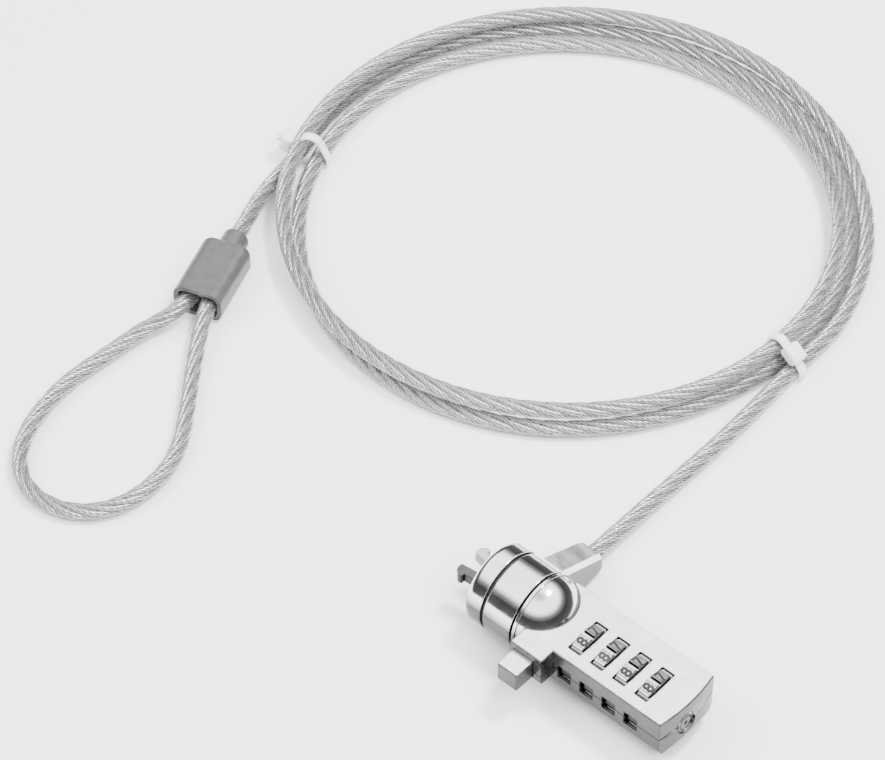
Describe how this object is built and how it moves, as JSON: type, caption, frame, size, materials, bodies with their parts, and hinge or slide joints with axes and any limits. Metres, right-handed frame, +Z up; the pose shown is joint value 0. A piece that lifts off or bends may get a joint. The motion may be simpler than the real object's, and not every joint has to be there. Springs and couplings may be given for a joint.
{
  "type": "laptop cable lock",
  "caption": "Combination lock head with a swivelling cable lug, number wheels, a side release button and slot hooks, on a coiled steel cable ending in a loop.",
  "frame": {"origin": "under the middle of the lock head's bounding box, on the surface that it lies on", "axes": "+X from the hooks to the reset plug along the head, +Y from the button to the cable lug, +Z up"},
  "size_m": [0.2055, 0.238, 0.0214],
  "materials": {
    "chrome_polished": "polished",
    "chrome_satin": "satin",
    "steel_ground": "ground",
    "steel_dark": "hardened, dark",
    "spring_steel": "drawn wire",
    "groove_black": "satin black",
    "washer_plastic": "matte",
    "sleeve_brass": "machined",
    "zinc_wheel": "satin with black marks",
    "ferrule_grey": "satin grey",
    "crimp_aluminium": "pressed",
    "cable_sheathed": "steel rope in a clear sheath",
    "tie_nylon": "natural nylon"
  },
  "bodies": {
    "cable_side": {"swivel_collar": "chrome_polished", "cable_stop": "crimp_aluminium", "lug_pin": "steel_ground", "cable_lead": "cable_sheathed", "cable_coil": "cable_sheathed", "cable_tail": "cable_sheathed", "cable_loop": "cable_sheathed", "ferrule_cover": "ferrule_grey", "crimp_sleeve": "crimp_aluminium", "tie_lower": "tie_nylon", "tie_upper": "tie_nylon"},
    "head": {"upper_shell": "chrome_satin", "lower_shell": "chrome_satin", "shell_screws": "steel_ground", "dome": "chrome_polished", "spigot": "steel_ground", "nose_ring": "chrome_polished", "groove_ring": "groove_black", "collar_washer": "washer_plastic", "detent_spring": "spring_steel", "hook_pins": "steel_ground", "button_spring": "spring_steel", "spindle_spring": "spring_steel"},
    "button": {"release_button": "chrome_satin", "hook_slider": "steel_ground"},
    "hook_near": {"hook_near": "steel_dark"},
    "hook_far": {"hook_far": "steel_ground"},
    "spindle": {"spindle": "steel_ground"},
    "reset_plug": {"reset_plug": "chrome_satin"},
    "wheel_1": {"number_wheel_1": "zinc_wheel", "code_sleeve_1": "sleeve_brass"},
    "wheel_2": {"number_wheel_2": "zinc_wheel", "code_sleeve_2": "sleeve_brass"},
    "wheel_3": {"number_wheel_3": "zinc_wheel", "code_sleeve_3": "sleeve_brass"},
    "wheel_4": {"number_wheel_4": "zinc_wheel", "code_sleeve_4": "sleeve_brass"}
  },
  "joints": [
    {"name": "head_swivel", "type": "hinge", "parent": "cable_side", "child": "head", "pos_m": [-0.01606, -0.00285, 0.0107], "axis": [1, 0, 0], "continuous": true},
    {"name": "wheel_1_turn", "type": "hinge", "parent": "head", "child": "wheel_1", "pos_m": [0.00419, -0.00422, 0.0094], "axis": [1, 0, 0], "continuous": true},
    {"name": "wheel_2_turn", "type": "hinge", "parent": "head", "child": "wheel_2", "pos_m": [0.01081, -0.00422, 0.0094], "axis": [1, 0, 0], "continuous": true},
    {"name": "wheel_3_turn", "type": "hinge", "parent": "head", "child": "wheel_3", "pos_m": [0.01743, -0.00422, 0.0094], "axis": [1, 0, 0], "continuous": true},
    {"name": "wheel_4_turn", "type": "hinge", "parent": "head", "child": "wheel_4", "pos_m": [0.02405, -0.00422, 0.0094], "axis": [1, 0, 0], "continuous": true},
    {"name": "button_press", "type": "slide", "parent": "head", "child": "button", "axis": [0, 1, 0], "range_m": [0, 0.0025], "stiffness_N_per_m": 800, "springref_m": -0.001, "deforming": ["button_spring"]},
    {"name": "hook_near_turn", "type": "hinge", "parent": "head", "child": "hook_near", "pos_m": [-0.02356, -0.00485, 0.0107], "axis": [0, 0, 1], "range_deg": [-12, 0]},
    {"name": "hook_far_turn", "type": "hinge", "parent": "head", "child": "hook_far", "pos_m": [-0.02356, -0.00085, 0.0107], "axis": [0, 0, 1], "range_deg": [0, 12]},
    {"name": "spindle_shift", "type": "slide", "parent": "head", "child": "spindle", "axis": [1, 0, 0], "range_m": [0, 0.00125], "deforming": ["spindle_spring"]},
    {"name": "reset_turn", "type": "hinge", "parent": "head", "child": "reset_plug", "pos_m": [0.03204, -0.00422, 0.0094], "axis": [1, 0, 0], "range_deg": [0, 90]}
  ],
  "couplings": [
    {"joint": "hook_near_turn", "follows": "button_press", "rad_per_m": -83.776},
    {"joint": "hook_far_turn", "follows": "button_press", "rad_per_m": 83.776},
    {"joint": "spindle_shift", "follows": "button_press", "ratio": 0.5}
  ]
}
